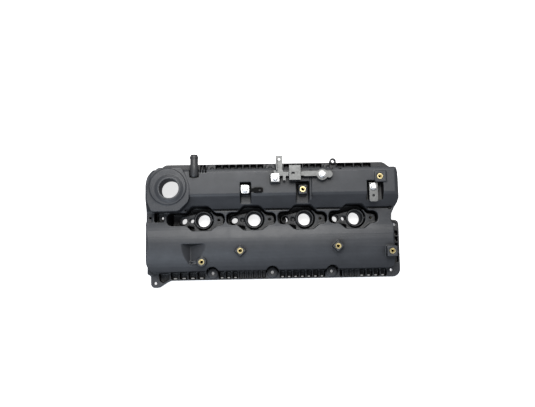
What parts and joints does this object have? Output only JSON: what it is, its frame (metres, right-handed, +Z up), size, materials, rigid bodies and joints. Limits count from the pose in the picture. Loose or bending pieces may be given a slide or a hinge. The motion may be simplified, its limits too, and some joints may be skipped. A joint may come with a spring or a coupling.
{
  "type": "camshaft cover",
  "caption": "Moulded plastic camshaft cover for an inline engine, with coil wells, oil filler neck, breather spigot, brass inserts and a steel harness bracket.",
  "frame": {"origin": "centre of the rectangle of the four corner flange bolts, in the sealing plane", "axes": "+X along the crankshaft away from the filler end, +Y to the rear towards the breather and bracket, +Z up out of the engine"},
  "size_m": [0.4465, 0.2252, 0.0776],
  "materials": {
    "shell_plastic": "fine moulded grain, satin",
    "spigot_plastic": "smooth moulded, satin",
    "baffle_plastic": "moulded, matt",
    "stay_plastic": "moulded, satin",
    "valve_plastic": "smooth moulded",
    "brass": "turned and knurled, satin",
    "zinc_steel": "bright zinc plated",
    "bracket_steel": "stamped sheet, dull plated",
    "spring_steel": "drawn wire",
    "rubber": "moulded, matt"
  },
  "bodies": {
    "cover": {"cover_shell": "shell_plastic", "breather_spigot": "spigot_plastic", "pcv_spring": "spring_steel", "front_baffle": "baffle_plastic", "rear_baffle": "baffle_plastic", "perimeter_gasket": "rubber", "plug_seal_1": "rubber", "plug_seal_2": "rubber", "plug_seal_3": "rubber", "plug_seal_4": "rubber", "brass_insert_1": "brass", "brass_insert_2": "brass", "brass_insert_3": "brass", "brass_insert_4": "brass", "brass_insert_5": "brass", "brass_insert_6": "brass", "coil_screw_inserts": "brass", "flange_sleeves": "zinc_steel", "harness_bracket": "bracket_steel", "bracket_bolt_left": "zinc_steel", "bracket_bolt_right": "zinc_steel", "stay_bolt": "zinc_steel", "harness_stay": "stay_plastic", "clip_bolt": "zinc_steel", "clip_tab": "bracket_steel"},
    "plunger": {"pcv_plunger": "valve_plastic"}
  },
  "joints": [
    {"name": "plunger_slide", "type": "slide", "parent": "cover", "child": "plunger", "axis": [0, 1, 0], "range_m": [0, 0.004], "stiffness_N_per_m": 60, "springref_m": -0.003, "deforming": ["pcv_spring"]}
  ]
}
